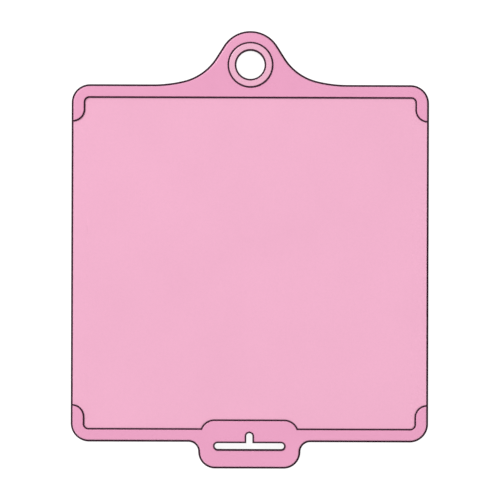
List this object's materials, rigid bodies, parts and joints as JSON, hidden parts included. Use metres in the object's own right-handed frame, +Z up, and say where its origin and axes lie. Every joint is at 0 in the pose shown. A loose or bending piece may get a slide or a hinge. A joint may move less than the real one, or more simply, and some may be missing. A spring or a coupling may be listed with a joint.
{
  "type": "scoring board",
  "caption": "Flat pink board for creasing craft paper, with a scoring plate that slides out sideways under the rails, a ringed hanging hole in an ear and a T-shaped hang slot in a tab.",
  "frame": {"origin": "centre of the whole outline in plan, on the surface that the board lies on", "axes": "+X to the right of the face and the way the plate slides out, +Y towards the hanging ear, +Z up out of the face"},
  "size_m": [0.3312, 0.4054, 0.0119],
  "materials": {
    "rail_pink": "satin",
    "plate_pink": "fine matte texture",
    "plum_rubber": "matte",
    "plum_plastic": "satin",
    "screw_steel": "plated"
  },
  "bodies": {
    "board": {"base_board": "rail_pink", "edge_bumper": "plum_rubber", "top_rail": "rail_pink", "bottom_rail": "rail_pink", "top_wiper": "plum_rubber", "bottom_wiper": "plum_rubber", "eyelet_front": "plate_pink", "eyelet_washer": "plum_rubber", "eyelet_back": "plum_plastic", "slot_liner": "plum_rubber", "top_rail_screws": "screw_steel", "bottom_rail_screws": "screw_steel", "foot_middle": "plum_rubber", "foot_upper_left": "plum_rubber", "foot_upper_right": "plum_rubber", "foot_lower_left": "plum_rubber", "foot_lower_right": "plum_rubber"},
    "plate": {"scoring_plate": "plate_pink"}
  },
  "joints": [
    {"name": "plate_slide", "type": "slide", "parent": "board", "child": "plate", "axis": [1, 0, 0], "range_m": [0, 0.33]}
  ]
}
